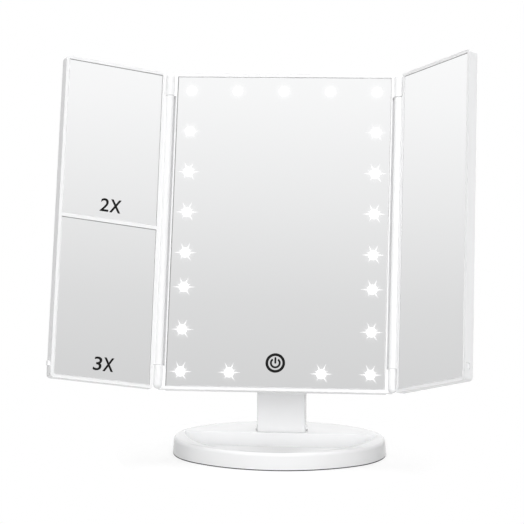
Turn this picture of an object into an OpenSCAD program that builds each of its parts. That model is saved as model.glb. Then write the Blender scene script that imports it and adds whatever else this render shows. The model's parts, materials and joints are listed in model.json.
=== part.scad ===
// Lighted trifold vanity mirror on an oval tray base.
// Origin: centre of the base's underside, on the table. +Z is up and -Y faces the user.
// The mirror unit is drawn upright, with the front of its glass at y = 0 and its back at +Y,
// and tilted() then leans it back about the pivot at the top of the neck.

/* [Centre mirror] */
// Width of the centre glass opening
glass_w = 164; // [150:1:190]
// Height of all the glass openings
glass_h = 240.5; // [225:0.5:270]
// Thickness of the centre glass
glass_t = 3; // [2:0.5:4]
// Gap round each pane in its opening
glass_gap = 0.2; // [0.1:0.05:0.4]
// Foam tape behind the centre glass
tape_t = 0.6; // [0.4:0.1:1]
// How far the frame's face stands proud of the glass
lip = 0.4; // [0.2:0.1:0.6]
// Frame above and below the glass
frame_edge = 2.2; // [1.8:0.1:4]
// Frame beside the glass, next to the wing barrels
frame_side = 1; // [0.8:0.1:1.2]
// Thickness of the tray floor behind the glass
web_t = 1.6; // [1.2:0.1:2.4]
// Depth of the centre frame from the glass face to its back edge
frame_d = 8.1; // [7.6:0.1:9]

/* [Wing hinges] */
// Distance of each wing's hinge axis from the side of the centre frame
hinge_gap = 4.5; // [4.2:0.1:5]
// How far the hinge axes lie in front of the glass face
hinge_out = 0.7; // [0.6:0.05:1]
// Radius of the wings' long barrels
barrel_r = 3; // [2.6:0.1:3]
// Radius of the knuckles on the centre frame
knuckle_r = 3.3; // [3:0.1:3.4]
// Length of each knuckle
knuckle_l = 17.7; // [14:0.1:24]
// Gap between a knuckle and the barrel's end
knuckle_gap = 0.3; // [0.2:0.05:0.5]
// Radius of the hinge pins
pin_r = 1; // [0.8:0.1:1.2]
// Running clearance round pins and bolts
run_gap = 0.05; // [0.02:0.01:0.08]
// Length of each hinge pin inside its knuckle
pin_in = 12; // [8:1:13]
// Length of each hinge pin inside the barrel
pin_out = 10; // [8:1:14]

/* [Wings] */
// Gap between the wings' free edges when both are closed
wing_meet = 1.8; // [0.8:0.1:2]
// Distance from the hinge axis to the wing glass
wing_start = 6.4; // [6.4:0.1:7.2]
// Frame beside the wing glass, next to the hinge
wing_inner = 2; // [1.8:0.1:2.2]
// Frame at the wing's free edge
wing_outer = 2.4; // [1.8:0.1:2.6]
// Depth of a wing from the glass face to its back
wing_d = 7; // [6.4:0.1:9]
// Thickness of the wing glass
wing_glass_t = 2; // [1.6:0.1:2.4]
// Foam tape behind the wing glass
wing_tape_t = 0.5; // [0.3:0.1:0.8]
// Thickness of the wing's tray floor
wing_web_t = 1.2; // [1:0.1:1.6]
// Thickness of the wing's back cover
wing_back_t = 1.6; // [1.2:0.1:2]
// Radius of the wing's free corners
wing_corner = 3; // [1:0.5:6]
// Bar between the two panes of the left wing
divider_w = 2.6; // [2:0.1:5]
// Thickness of the strip that joins barrel and wing frame
link_t = 2.6; // [2:0.1:2.6]
// How far the closing nub stands out of the left wing's free edge
nub_out = 2; // [1.6:0.1:2.2]
// Height of the closing nub
nub_h = 3.4; // [2:0.1:6]
// Distance of the closing nub above the lower edge of the glass
nub_up = 8.25; // [6:0.25:30]
// How far the left wing is folded forwards
left_fold_angle = 33; // [0:1:90]
// How far the right wing is folded forwards
right_fold_angle = 52; // [0:1:90]

/* [Lights] */
// Distance of the side light columns from the side of the glass
led_side = 11; // [8:0.5:15]
// Distance of the top and bottom light rows from the edge of the glass
led_edge = 11.25; // [9:0.25:16]
// Distance of the bottom row's inner lights from the centre line
led_low_x = 34.5; // [28:0.5:40]
// Radius of the light holes in the tray floor
led_hole_r = 3.4; // [3:0.1:4]
// Width of the light boards
led_board_w = 9; // [8:0.5:10]
// Thickness of the light boards
board_t = 1; // [0.8:0.1:1.2]
// Distance of the touch spot above the lower edge of the glass
touch_up = 18.95; // [16:0.05:30]
// Radius of the touch sensor disc
touch_r = 6.5; // [5:0.1:7]

/* [Rear housing] */
// Width of the raised housing
pod_w = 94; // [90:1:110]
// Top of the raised housing above the glass centre
pod_top = 66; // [66:1:90]
// Bottom of the raised housing below the glass centre
pod_drop = 46; // [44:1:60]
// Back face of the raised housing behind the glass face
pod_y = 23; // [23:0.1:23.4]
// Wall of the raised housing
pod_wall = 2; // [1.6:0.1:2.4]
// Corner radius of the raised housing, seen from behind
pod_corner = 9; // [5:0.5:14]
// Rounding of the raised housing's rear edge
pod_edge = 4; // [2:0.5:6]
// Thickness of the flat back plate
back_t = 1.6; // [1.2:0.1:1.8]
// Diameter of a battery cell
cell_d = 14.4; // [14.2:0.1:14.5]
// Length of a battery cell without its button
cell_l = 49.4; // [49:0.1:49.6]
// Spacing between battery cells
cell_pitch = 14.8; // [14.7:0.1:15.2]
// Bottom of the battery bay above the glass centre
bay_z = 8; // [6:0.5:8]
// Inside height of the battery bay
bay_h = 55; // [54:0.5:56]
// Thickness of the battery cover
cover_t = 1.7; // [1.4:0.1:1.8]
// Sliding gap round the battery cover
slide_gap = 0.25; // [0.2:0.05:0.35]

/* [Tilt pivot] */
// Height of the tilt pivot above the table
pivot_z = 142.7; // [120:0.1:170]
// Distance of the pivot behind the glass face
pivot_back = 31.6; // [31.6:0.1:36]
// Distance of the pivot below the glass centre
pivot_drop = 19.2; // [16:0.1:26]
// How far the mirror leans back from upright
tilt = 20.6; // [0:0.1:60]
// Radius of the tilt bolt
bolt_r = 2.5; // [2:0.1:3]
// Thickness of each tilt lug
lug_t = 5.5; // [4:0.1:7]
// Thickness of each friction washer
washer_t = 0.5; // [0.4:0.1:0.8]

/* [Neck] */
// Width of the neck
neck_w = 37.5; // [32:0.5:38]
// Thickness of the neck from front to back
neck_t = 15.1; // [14:0.1:15.6]
// Distance of the neck's centre behind the base's centre
neck_y = 22.8; // [22:0.1:28]
// Wall of the neck
neck_wall = 2.2; // [1.8:0.1:2.4]
// How far the neck's front face bulges
neck_bulge = 1.2; // [0.4:0.1:1.6]
// Depth of the tongues that plug into the base
tongue_h = 6; // [4:0.5:7]

/* [Release tabs] */
// How far each tab stands out of the neck's side
tab_out = 1.3; // [1.1:0.1:1.6]
// Travel of each tab
tab_travel = 1.2; // [0.8:0.1:1.2]
// Width of the tabs from front to back
tab_w = 6; // [4:0.5:8]
// Height of the tabs' finger pads
tab_h = 3; // [2:0.1:4]

/* [Base] */
// Length of the oval base
base_l = 163.6; // [150:1:190]
// Width of the oval base from front to back
base_w = 118.4; // [112:0.2:130]
// Height of the base's rim above the table
base_h = 13; // [12:0.5:18]
// Taper of the base's outer wall over its height
base_draft = 0.9; // [0:0.1:2]
// Width of the flat-topped rim
rim_w = 7.5; // [6:0.1:9]
// Rounding of the rim's outer edge
rim_outer_r = 1.6; // [0.8:0.1:2]
// Rounding of the rim's inner edge
rim_inner_r = 0.8; // [0.4:0.1:1.2]
// Wall of the base
base_wall = 2; // [1.6:0.1:2.4]
// Thickness of the tray's floor
floor_t = 1.4; // [1.2:0.1:1.6]
// Straight back edge of the tray, behind the base's centre
tray_back = 14; // [10:0.5:14]
// Thickness of the non-slip pad
pad_t = 0.8; // [0.5:0.1:1.2]
// Distance of the pad from the base's outline
pad_inset = 1.5; // [1:0.5:1.5]
// Thickness of the steel weight
weight_t = 5; // [3:0.5:5]

/* [Hidden] */
$fn = 64;

// Finishes
shell_white = [0.95, 0.95, 0.96];
mirror_grey = [0.86, 0.88, 0.9];
steel = [0.7, 0.71, 0.73];
foam_white = [0.88, 0.88, 0.86];
board_green = [0.1, 0.38, 0.22];
nickel = [0.78, 0.77, 0.72];
pad_grey = [0.3, 0.31, 0.32];

// Small lengths shared by several pieces
snug = 0.15;                                    // gap round a piece that is fixed in its seat
touch = 0.01;                                   // overlap that fuses two features of one piece
free = 0.3;                                     // gap beside a piece that moves

// Centre frame
frame_h = glass_h + 2 * frame_edge;
frame_w = glass_w + 2 * frame_side;
web_y = glass_t + tape_t;
web_back = web_y + web_t;
back_y = frame_d - back_t;
screw_in = 24;                                  // housing screws, from the edges of the glass
screw_x = glass_w / 2 - screw_in;
screw_z = glass_h / 2 - screw_in;
screw_spots = [for (x = [-screw_x, screw_x], z = [-screw_z, 0, screw_z]) [x, z]];
shank_r = 1.1;
head_r = 2.3;
head_t = 1.1;

// Lights: two columns of eight, three more along the top and two along the bottom
led_x = glass_w / 2 - led_side;
led_z = glass_h / 2 - led_edge;
led_rows = led_z * [1, 0.706, 0.413, 0.124, -0.165, -0.408, -0.706, -1];
led_top_step = led_x / 2;
touch_drop = glass_h / 2 - touch_up;
led_spots = concat([for (x = [-led_x, led_x], z = led_rows) [x, z]],
    [for (x = [-led_top_step, 0, led_top_step]) [x, led_z]],
    [for (x = [-led_low_x, led_low_x]) [x, -led_z]]);
chip_w = 3.5;
chip_h = 2.8;
chip_t = 0.8;
led_row_end = led_x - led_board_w / 2 - free;   // where the top and bottom boards stop

// Wings
hinge_x = frame_w / 2 + hinge_gap;
wing_end = hinge_x - wing_meet / 2;
wing_glass_w = wing_end - wing_outer - wing_start;
nub_drop = glass_h / 2 - nub_up;
barrel_h = frame_h - 2 * (knuckle_l + knuckle_gap);
shield_t = 1.6;                                 // strip on the frame that closes the view behind each barrel
shield_in = 1.5;                                // its free edge, inside the hinge axis
pane_h = (glass_h - divider_w) / 2;
wing_web_y = wing_glass_t + wing_tape_t;
nub_t = 2.4;
nub_y = 2.6;                                    // middle of the nub behind the wing's glass face
slot_gap = 0.5;

// Rear housing and battery bay
pod_mid = (pod_top - pod_drop) / 2;
pod_h = pod_top + pod_drop;
bay_w = 4 * cell_pitch + 0.6;
bay_wall = 1.2;
cover_y = pod_y - cover_t;
cell_y = cover_y - 0.1 - cell_d / 2;
bay_floor = cell_y - cell_d / 2 - 0.1;
tongue_w = 1.2;                                 // width of the cover's side tongues
tongue_t = 0.8;
cover_w = bay_w + 2 * (bay_wall + 1);
cover_z = bay_z - bay_wall - 2;
cell_z = bay_z + bay_h / 2;
button_r = 2.7;
button_l = 1;
plate_t = 0.4;

// Electronics
touch_board_w = 22;
touch_board_h = 20;
pcb_y = 14.6;
pcb_x = 11;
pcb_w = 62;
pcb_h = 28;
pcb_z = -pod_drop + pod_wall + 1 + pcb_h / 2;
pcb_t = 1.2;
circuits = [[-14, -3, 7, 6, 1.2], [2, 2, 6, 6, 1.8]]; // corner from the board's middle, width, height, thickness
post_x = pcb_w / 2 - 3;
post_z = pcb_h / 2 - 3;
post_spots = [for (x = [-post_x, post_x], z = [-post_z, post_z]) [pcb_x + x, pcb_z + z]];
usb_x = 31;
usb_w = 8;
usb_l = 5.8;
usb_t = 2.9;
usb_y = pcb_y + pcb_t;
switch_x = 35;
switch_z = -26;
switch_w = 10;
switch_h = 6;
switch_t = 3.8;
knob_w = 3.6;
knob_h = 4;
knob_travel = 2.6;
knob_out = 1;

// Tilt pivot
lug_r = neck_t / 2;
lug_x = neck_w / 2 + washer_t + 2 * 0.2;        // inner face of each lug
bolt_end = lug_x + lug_t;
bolt_head_r = 4.2;
bolt_head_t = 2.4;
cap_r = 6;
cap_t = 3.6;
cap_wall = 0.9;

// Base: an oval of four arcs, whose centres form 3-4-5 triangles so that the arcs meet smoothly
arc_step = round(25 * (base_l - base_w)) / 100; // whole hundredths, which keep the meeting points exact
tip_x = 3 * arc_step;
side_y = 4 * arc_step;
tip_r = base_w / 2 - arc_step;
side_r = base_w / 2 + side_y;
arc_turn = atan2(4, 3);
hollow_r = rim_w / 2 - base_wall;
rim_x = -base_draft - rim_w / 2;                // middle of the rim
hollow_z = base_h - rim_w / 2;                  // middle of the round top of the hollow below it
deck_t = 2;
deck_z = base_h - 0.4;                          // the deck lies just below the rim
floor_z = pad_t + floor_t;
cavity_y = tray_back + base_wall;
boss_r = 3.2;
boss_in = 30;                                   // outer bosses, from the ends of the base
boss_up = 9;                                    // and behind the tray's back edge
boss_mid = 55;                                  // inner bosses, from the ends of the base
boss_back = 20.5;                               // and from its back
boss_spots = [for (x = [-1, 1]) each [[x * (base_l / 2 - boss_in), cavity_y + boss_up],
    [x * (base_l / 2 - boss_mid), base_w / 2 - boss_back]]];

// Neck
cover_top = pivot_z - neck_t / 2 - 4;           // top of the neck's front shell
neck_corner = 3;
bulge_r = (neck_w * neck_w / 4 + neck_bulge * neck_bulge) / (2 * neck_bulge);
neck_back = neck_y + neck_t / 2;
neck_face = neck_y - neck_t / 2;
front_t = 2;
neck_screw_up = 22;                             // lower screw above the deck
neck_screw_drop = 34;                           // upper screw below the pivot
neck_screw_z = [deck_z + neck_screw_up, pivot_z - neck_screw_drop];
pillar_r = 3;
slot_w = neck_w - 2 * neck_wall - 0.1;          // slot in the deck that takes the neck's tongues
slot_front = neck_face + neck_wall;
slot_back = neck_back - neck_wall;
barb = 0.8;                                     // how far a release tab's hook reaches under the deck
tab_z = deck_z + 2;                             // bottom of the finger pads
tab_arm = 2;
groove_w = 0.6;                                 // shadow groove in the deck round the foot of the neck
groove_d = 0.8;

// ---- Helpers ----

module rounded_rect(w, h, r) {
    square([w - 2 * r, h], center = true);
    square([w, h - 2 * r], center = true);
    for (x = [-1, 1], y = [-1, 1])
        translate([x * (w / 2 - r), y * (h / 2 - r)]) circle(r);
}

// A plate seen from the front, from depth y0 to depth y1
module slab(y0, y1) {
    translate([0, y1, 0]) rotate([90, 0, 0]) linear_extrude(y1 - y0) children();
}

// A round rod or hole along the depth, from y0 to y1
module rod_y(x, z, r, y0, y1) {
    translate([x, y1, z]) rotate([90, 0, 0]) cylinder(r = r, h = y1 - y0);
}

module rod_x(x0, x1, y, z, r) {
    translate([x0, y, z]) rotate([0, 90, 0]) cylinder(r = r, h = x1 - x0);
}

module box(x0, x1, y0, y1, z0, z1) {
    translate([x0, y0, z0]) cube([x1 - x0, y1 - y0, z1 - z0]);
}

// Places a piece of the mirror unit
module tilted() {
    translate([0, neck_y, pivot_z]) rotate([-tilt, 0, 0]) translate([0, -pivot_back, pivot_drop])
        children();
}

// Places a piece of a wing, drawn with its hinge axis on Z and the wing along +X
module on_wing(side) {
    fold = side < 0 ? left_fold_angle : right_fold_angle;
    tilted() translate([side * hinge_x, -hinge_out, 0]) rotate([0, 0, -side * fold])
        mirror([side < 0 ? 1 : 0, 0, 0]) children();
}

// ---- Base ----

module oval(inset) {
    intersection() {
        translate([0, -side_y]) circle(side_r - inset, $fn = 180);
        translate([0, side_y]) circle(side_r - inset, $fn = 180);
        square([2 * (tip_x + (tip_r - inset) * cos(arc_turn)), base_w], center = true);
    }
    for (x = [-tip_x, tip_x])
        translate([x, 0]) circle(tip_r - inset, $fn = 120);
}

// Sweeps a profile round the oval: x is the distance outside the outline, y the height.
// Each ring is cut along the lines through the arcs' centres, on which its neighbours start.
module oval_sweep() {
    far = 40;                                   // takes the cuts past the outline, along 3-4-5 lines
    start = tip_x - 0.004;                      // overlap that fuses the rings
    for (side = [-1, 1]) {
        intersection() {
            translate([side * tip_x, 0, 0]) rotate_extrude($fn = 120) translate([tip_r, 0]) children();
            linear_extrude(2 * base_h)
                polygon([[side * start, 0], for (y = [-4, 4]) [side * (start + 3 * far), y * far]]);
        }
        intersection() {
            translate([0, -side * side_y, 0])
                rotate_extrude($fn = 180) translate([side_r, 0]) children();
            linear_extrude(2 * base_h)
                polygon([[0, -side * side_y], for (x = [-1, 1]) [x * (tip_x + 3 * far), side * 4 * far]]);
        }
    }
}

// Rim seen in section: drafted outer wall, flat top with rounded edges and straight inner wall
module rim_profile() {
    outer_z = base_h - rim_outer_r;
    inner_z = base_h - rim_inner_r;
    inner_x = -base_draft - rim_w;
    translate([-base_draft - rim_outer_r, outer_z]) circle(rim_outer_r);
    translate([inner_x + rim_inner_r, inner_z]) circle(rim_inner_r);
    polygon([[0, pad_t], [-base_draft, outer_z], [-base_draft - rim_outer_r, base_h],
        [inner_x + rim_inner_r, base_h], [inner_x, inner_z], [inner_x, pad_t]]);
}

// The hollow below the rim, open underneath
module rim_hollow() {
    translate([rim_x, hollow_z]) circle(hollow_r);
    polygon([[-base_wall, 0], [rim_x + hollow_r, hollow_z], [rim_x - hollow_r, hollow_z], [rim_x - hollow_r, 0]]);
}

module behind(y) {
    translate([-base_l, y]) square([2 * base_l, base_w]);
}

module base_tray() {
    inner = base_draft + rim_w;
    color(shell_white) difference() {
        union() {
            oval_sweep() rim_profile();
            translate([0, 0, pad_t]) linear_extrude(floor_t) oval(-rim_x);
            translate([0, 0, pad_t]) linear_extrude(deck_z - pad_t) intersection() {
                oval(-rim_x);
                behind(tray_back);
            }
        }
        oval_sweep() rim_hollow();
        translate([0, 0, floor_z]) linear_extrude(deck_z - deck_t - floor_z) difference() {
            intersection() {
                oval(inner + base_wall);
                behind(cavity_y);
            }
            for (spot = boss_spots) translate(spot) circle(boss_r);
        }
        translate([0, 0, pad_t - 1]) linear_extrude(floor_t + 1) intersection() {
            oval(inner + base_wall);
            behind(cavity_y);
        }
        for (spot = boss_spots)
            translate([spot[0], spot[1], 0]) cylinder(r = shank_r, h = deck_z - deck_t);
        box(-slot_w / 2, slot_w / 2, slot_front, slot_back, deck_z - deck_t - 1, base_h + 1);
        translate([0, 0, deck_z - groove_d]) linear_extrude(groove_d + 1) difference() {
            neck_plan(-groove_w);
            neck_plan(0);
        }
    }
}

module base_bottom_cover() {
    color(shell_white) difference() {
        translate([0, 0, pad_t]) linear_extrude(floor_t) intersection() {
            oval(base_draft + rim_w + base_wall + snug);
            behind(cavity_y + snug);
        }
        for (spot = boss_spots) translate([spot[0], spot[1], 0]) {
            cylinder(r = shank_r + snug, h = base_h);
            cylinder(r = head_r + snug, h = pad_t + head_t - 0.3);
        }
    }
}

module base_weight() {
    color(steel) translate([0, 0, floor_z]) linear_extrude(weight_t) difference() {
        intersection() {
            oval(base_draft + rim_w + base_wall + 1);
            behind(cavity_y + 0.8);
        }
        for (spot = boss_spots) translate(spot) circle(boss_r + free);
        translate([0, (slot_front + slot_back) / 2]) square([slot_w + 2, slot_back - slot_front + 2], center = true);
    }
}

module non_slip_pad() {
    color(pad_grey) linear_extrude(pad_t) oval(pad_inset);
}

module base_screws() {
    color(steel) for (spot = boss_spots) translate([spot[0], spot[1], pad_t]) {
        cylinder(r = head_r, h = head_t - 0.3);
        cylinder(r = shank_r - run_gap, h = 8);
    }
}

// ---- Neck ----

// Plan outline of the neck, inset by its wall for the hollow
module neck_plan(inset) {
    intersection() {
        translate([0, neck_y]) rounded_rect(neck_w - 2 * inset, neck_t - 2 * inset, max(neck_corner - inset, 0.8));
        translate([0, neck_face + bulge_r]) circle(bulge_r - inset, $fn = 360);
    }
}

module neck_body() {
    translate([0, 0, deck_z]) linear_extrude(pivot_z - deck_z) neck_plan(0);
    rod_x(-neck_w / 2, neck_w / 2, neck_y, pivot_z, neck_t / 2);
}

// The front shell's space: everything in front of the seam, below the barrel
module neck_front_zone(gap) {
    box(-neck_w, neck_w, neck_face - 5, neck_face + neck_corner + gap, deck_z - 1, cover_top + gap);
    box(-neck_w / 2 + neck_wall - gap, neck_w / 2 - neck_wall + gap, neck_face, neck_face + neck_corner + 2,
        deck_z - 1, cover_top + gap);
}

module neck_rear_shell() {
    color(shell_white) difference() {
        union() {
            difference() {
                neck_body();
                box(-neck_w / 2 + neck_wall, neck_w / 2 - neck_wall, neck_face - 5, neck_back - neck_wall,
                    deck_z - 1, cover_top);
                neck_front_zone(0);
            }
            for (z = neck_screw_z) rod_y(0, z, pillar_r, neck_face + front_t + 2, neck_back - 1);
            box(-slot_w / 2 + snug, slot_w / 2 - snug, slot_back - snug - 1.6, slot_back - snug,
                deck_z - tongue_h, deck_z + touch);
            box(-slot_w / 2 + snug, slot_w / 2 - snug, slot_back - snug - 1.6, neck_back - 1, deck_z, deck_z + 1);
        }
        rod_x(-neck_w, neck_w, neck_y, pivot_z, bolt_r + run_gap);
        for (z = neck_screw_z) {
            rod_y(0, z, shank_r + snug, neck_face, neck_back + 1);
            rod_y(0, z, head_r + snug, neck_back - head_t - 0.4, neck_back + 1);
        }
        for (side = [-1, 1])
            translate([side * neck_w / 2, neck_y, tab_z + tab_h / 2])
                cube([2 * neck_wall + 2, tab_w + 2 * free, tab_h + 2 * free], center = true);
    }
}

module neck_front_shell() {
    color(shell_white) difference() {
        union() {
            intersection() {
                translate([0, 0, deck_z]) linear_extrude(cover_top - deck_z - snug) neck_plan(0);
                box(-neck_w, neck_w, neck_face - 5, neck_face + neck_corner - snug, 0, pivot_z);
            }
            box(-slot_w / 2 + 2, slot_w / 2 - 2, slot_front + snug, slot_front + snug + 1.6,
                deck_z - tongue_h, deck_z + 2);
            for (z = neck_screw_z)
                rod_y(0, z, pillar_r, neck_face + 1, neck_face + front_t + 2);
        }
        box(-neck_w / 2 + neck_wall, neck_w / 2 - neck_wall, neck_face + front_t, neck_face + front_t + 1 - touch,
            neck_screw_z[0] + pillar_r + 1, neck_screw_z[1] - pillar_r - 1);
        for (z = neck_screw_z) rod_y(0, z, shank_r, neck_face + 1.4, neck_face + front_t + 3);
    }
}

module neck_screws() {
    color(steel) for (z = neck_screw_z) {
        rod_y(0, z, head_r, neck_back - head_t - 0.4, neck_back - 0.4);
        rod_y(0, z, shank_r - run_gap, neck_face + 2, neck_back - head_t);
    }
}

// A finger pad that flares downwards, an arm inside the neck and a hook under the deck
module release_tab(side) {
    arm_x = slot_w / 2 - 2 - free - tab_arm;
    hook_z = deck_z - deck_t - free;
    color(shell_white) mirror([side < 0 ? 1 : 0, 0, 0])
        translate([0, neck_y + tab_w / 2, 0]) rotate([90, 0, 0]) linear_extrude(tab_w)
            polygon([[arm_x, hook_z - 1.6], [slot_w / 2 + barb - 1, hook_z - 1.6], [slot_w / 2 + barb, hook_z - 0.8],
                [slot_w / 2 + barb, hook_z], [arm_x + tab_arm, hook_z], [arm_x + tab_arm, tab_z],
                [neck_w / 2 + tab_out, tab_z], [neck_w / 2 + tab_out, tab_z + 0.8],
                [neck_w / 2 + 0.3, tab_z + tab_h], [arm_x, tab_z + tab_h]]);
}

// ---- Centre frame and what it holds ----

module knuckle(side, end) {
    outer = frame_h / 2;
    translate([side * hinge_x, -hinge_out, end * (outer - knuckle_r)]) sphere(knuckle_r);
    translate([side * hinge_x, -hinge_out, end > 0 ? outer - knuckle_l : knuckle_r - outer])
        cylinder(r = knuckle_r, h = knuckle_l - knuckle_r);
    x0 = min(side * hinge_x, side * (frame_w / 2 - 1));
    z0 = end > 0 ? outer - knuckle_l : -outer;
    box(x0, x0 + hinge_x - frame_w / 2 + 1, -lip, knuckle_r + 1, z0, z0 + knuckle_l);
}

module pin_bore(side, end, r) {
    inner = frame_h / 2 - knuckle_l;
    z0 = end > 0 ? inner - pin_out : -inner - pin_in;
    translate([side * hinge_x, -hinge_out, z0]) cylinder(r = r, h = pin_in + pin_out);
}

module centre_frame() {
    color(shell_white) tilted() difference() {
        union() {
            slab(-lip, frame_d) rounded_rect(frame_w, frame_h, 1);
            slab(knuckle_r + 1 - shield_t, knuckle_r + 1)
                square([frame_w + 2 * (hinge_gap - shield_in), barrel_h + 2], center = true);
            for (side = [-1, 1], end = [-1, 1]) knuckle(side, end);
        }
        slab(-lip - 1, web_y) square([glass_w, glass_h], center = true);
        slab(web_back, frame_d + 1) difference() {
            square([glass_w, glass_h], center = true);
            for (spot = screw_spots) translate(spot) circle(boss_r);
        }
        for (spot = screw_spots) rod_y(spot[0], spot[1], boss_r + 1, back_y - snug, frame_d + 1);
        for (spot = screw_spots) rod_y(spot[0], spot[1], shank_r, web_y - 1, frame_d);
        for (spot = led_spots) rod_y(spot[0], spot[1], led_hole_r, web_y - 1, web_back + 1);
        rod_y(0, -touch_drop, touch_r + free, web_y - 1, web_back + 1);
        for (side = [-1, 1], end = [-1, 1]) pin_bore(side, end, pin_r + run_gap);
    }
}

module hinge_pins(side) {
    color(steel) tilted() for (end = [-1, 1]) pin_bore(side, end, pin_r);
}

module centre_mirror() {
    color(mirror_grey) tilted()
        slab(0, glass_t) square([glass_w - 2 * glass_gap, glass_h - 2 * glass_gap], center = true);
}

module centre_tape() {
    strip_w = 6;
    strip_x = led_x - led_hole_r - strip_w;
    strip_z = led_z - led_hole_r - strip_w - 12;
    color(foam_white) tilted() slab(glass_t, web_y) {
        for (x = [-strip_x, strip_x]) translate([x, 0]) square([strip_w, 2 * strip_z], center = true);
        for (z = [-strip_z + strip_w, strip_z - strip_w])
            translate([0, z]) square([2 * strip_x - strip_w - 4, strip_w], center = true);
    }
}

module light_board_side(side) {
    color(board_green) tilted() translate([side * led_x, 0, 0])
        slab(web_back, web_back + board_t) square([led_board_w, 2 * led_z + led_board_w], center = true);
}

module light_board_row(end) {
    color(board_green) tilted() translate([0, 0, end * led_z])
        slab(web_back, web_back + board_t) square([2 * led_row_end, led_board_w], center = true);
}

module light_chips() {
    color("lightyellow") tilted() for (spot = led_spots)
        translate([spot[0], 0, spot[1]]) slab(web_back - chip_t, web_back) square([chip_w, chip_h], center = true);
}

module touch_disc() {
    color(nickel) tilted() rod_y(0, -touch_drop, touch_r, glass_t + 0.1, web_back);
}

module touch_board() {
    low = -led_z + led_board_w / 2 + free;
    color(board_green) tilted()
        box(-touch_board_w / 2, touch_board_w / 2, web_back, web_back + board_t, low, low + touch_board_h);
}

// ---- Rear housing ----

// A block with round corners from behind and a rounded rear edge
module pod_block(inset, y0, y1) {
    w = pod_w - 2 * inset;
    h = pod_h - 2 * inset;
    edge = max(pod_edge - inset, 1);
    translate([0, 0, pod_mid]) intersection() {
        slab(y0, y1) rounded_rect(w, h, pod_corner - inset);
        translate([0, 0, -h]) linear_extrude(2 * h) translate([0, y1 - pod_y]) rounded_rect(w, 2 * pod_y, edge);
        rotate([90, 0, 90]) translate([0, 0, -w]) linear_extrude(2 * w) translate([y1 - pod_y, 0])
            rounded_rect(2 * pod_y, h, edge);
    }
}

module lug_outline() {
    circle(lug_r);
    translate([-(pivot_back - pod_y) - 1, -lug_r]) square([pivot_back - pod_y + 1, 2 * lug_r]);
}

module tilt_lug(side) {
    x0 = side > 0 ? lug_x : -lug_x - lug_t;
    translate([x0, pivot_back, -pivot_drop]) rotate([90, 0, 90]) linear_extrude(lug_t) lug_outline();
}

// The opening that the battery cover slides in, with its side grooves
module cover_channel() {
    half = cover_w / 2 + slide_gap;
    box(-half, half, cover_y - slide_gap, pod_y + 1, cover_z - slide_gap, pod_top + 1);
    box(-half - tongue_w, half + tongue_w, cover_y - slide_gap, cover_y + tongue_t + slide_gap,
        cover_z - slide_gap, pod_top + 1);
}

module rear_housing() {
    color(shell_white) tilted() difference() {
        union() {
            slab(back_y, frame_d) square([glass_w - 2 * snug, glass_h - 2 * snug], center = true);
            difference() {
                pod_block(0, frame_d - touch, pod_y);
                pod_block(pod_wall, back_y - 1, pod_y - pod_wall);
            }
            intersection() {
                pod_block(0, bay_floor - 1, pod_y);
                box(-bay_w / 2 - bay_wall - 4, bay_w / 2 + bay_wall + 4, bay_floor - bay_wall, cover_y - slide_gap,
                    bay_z - bay_wall - 4, pod_top);
            }
            for (side = [-1, 1]) tilt_lug(side);
            for (spot = post_spots) rod_y(spot[0], spot[1], 2.6, usb_y, pod_y - pod_wall + touch);
        }
        difference() {
            pod_block(pod_wall, back_y - 1, pod_y - pod_wall);
            box(-bay_w / 2 - bay_wall - 4, bay_w / 2 + bay_wall + 4, bay_floor - bay_wall, pod_y,
                bay_z - bay_wall - 4, pod_top);
            for (spot = post_spots) rod_y(spot[0], spot[1], 2.6, usb_y, pod_y);
        }
        box(-bay_w / 2, bay_w / 2, bay_floor, pod_y, bay_z, bay_z + bay_h);
        cover_channel();
        rod_x(-bolt_end - 1, bolt_end + 1, pivot_back, -pivot_drop, bolt_r + run_gap);
        for (spot = post_spots) rod_y(spot[0], spot[1], shank_r, usb_y - 1, usb_y + 4);
        for (spot = screw_spots) {
            rod_y(spot[0], spot[1], shank_r + snug, back_y - 1, frame_d + 1);
            rod_y(spot[0], spot[1], head_r + snug, frame_d - head_t, frame_d + 1);
        }
        box(switch_x - (knob_w + knob_travel) / 2 - free, switch_x + (knob_w + knob_travel) / 2 + free,
            pod_y - pod_wall - 1, pod_y + 1, switch_z - knob_h / 2 - free, switch_z + knob_h / 2 + free);
        box(usb_x - usb_w / 2 - free, usb_x + usb_w / 2 + free, usb_y - free, usb_y + usb_t + free,
            -pod_drop - 1, -pod_drop + pod_wall + 1);
    }
}

module housing_screws() {
    color(steel) tilted() for (spot = screw_spots) {
        rod_y(spot[0], spot[1], head_r, frame_d - head_t, frame_d - 0.1);
        rod_y(spot[0], spot[1], shank_r - run_gap, web_y + 0.4, frame_d - head_t);
    }
}

// Flat cover with two side tongues and finger ribs near its lower end
module battery_cover() {
    half = cover_w / 2;
    rib_gap = 3;
    color(shell_white) tilted() {
        difference() {
            union() {
                box(-half, half, cover_y, pod_y, cover_z, pod_top - snug);
                box(-half - tongue_w + 0.1, half + tongue_w - 0.1, cover_y, cover_y + tongue_t, cover_z,
                    pod_top - snug);
            }
            for (i = [0:4]) box(-12, 12, pod_y - 0.7, pod_y + 1, cover_z + 6 + i * rib_gap,
                cover_z + 6 + i * rib_gap + 1.4);
        }
    }
}

// Four cells side by side, every second one turned over
module battery_cells() {
    color("gold") tilted() for (i = [0:3])
        translate([(i - 1.5) * cell_pitch, cell_y, cell_z]) rotate([0, i % 2 == 0 ? 0 : 180, 0]) {
            translate([0, 0, -cell_l / 2]) cylinder(r = cell_d / 2, h = cell_l);
            translate([0, 0, cell_l / 2 - touch]) cylinder(r = button_r, h = button_l);
        }
}

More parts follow.
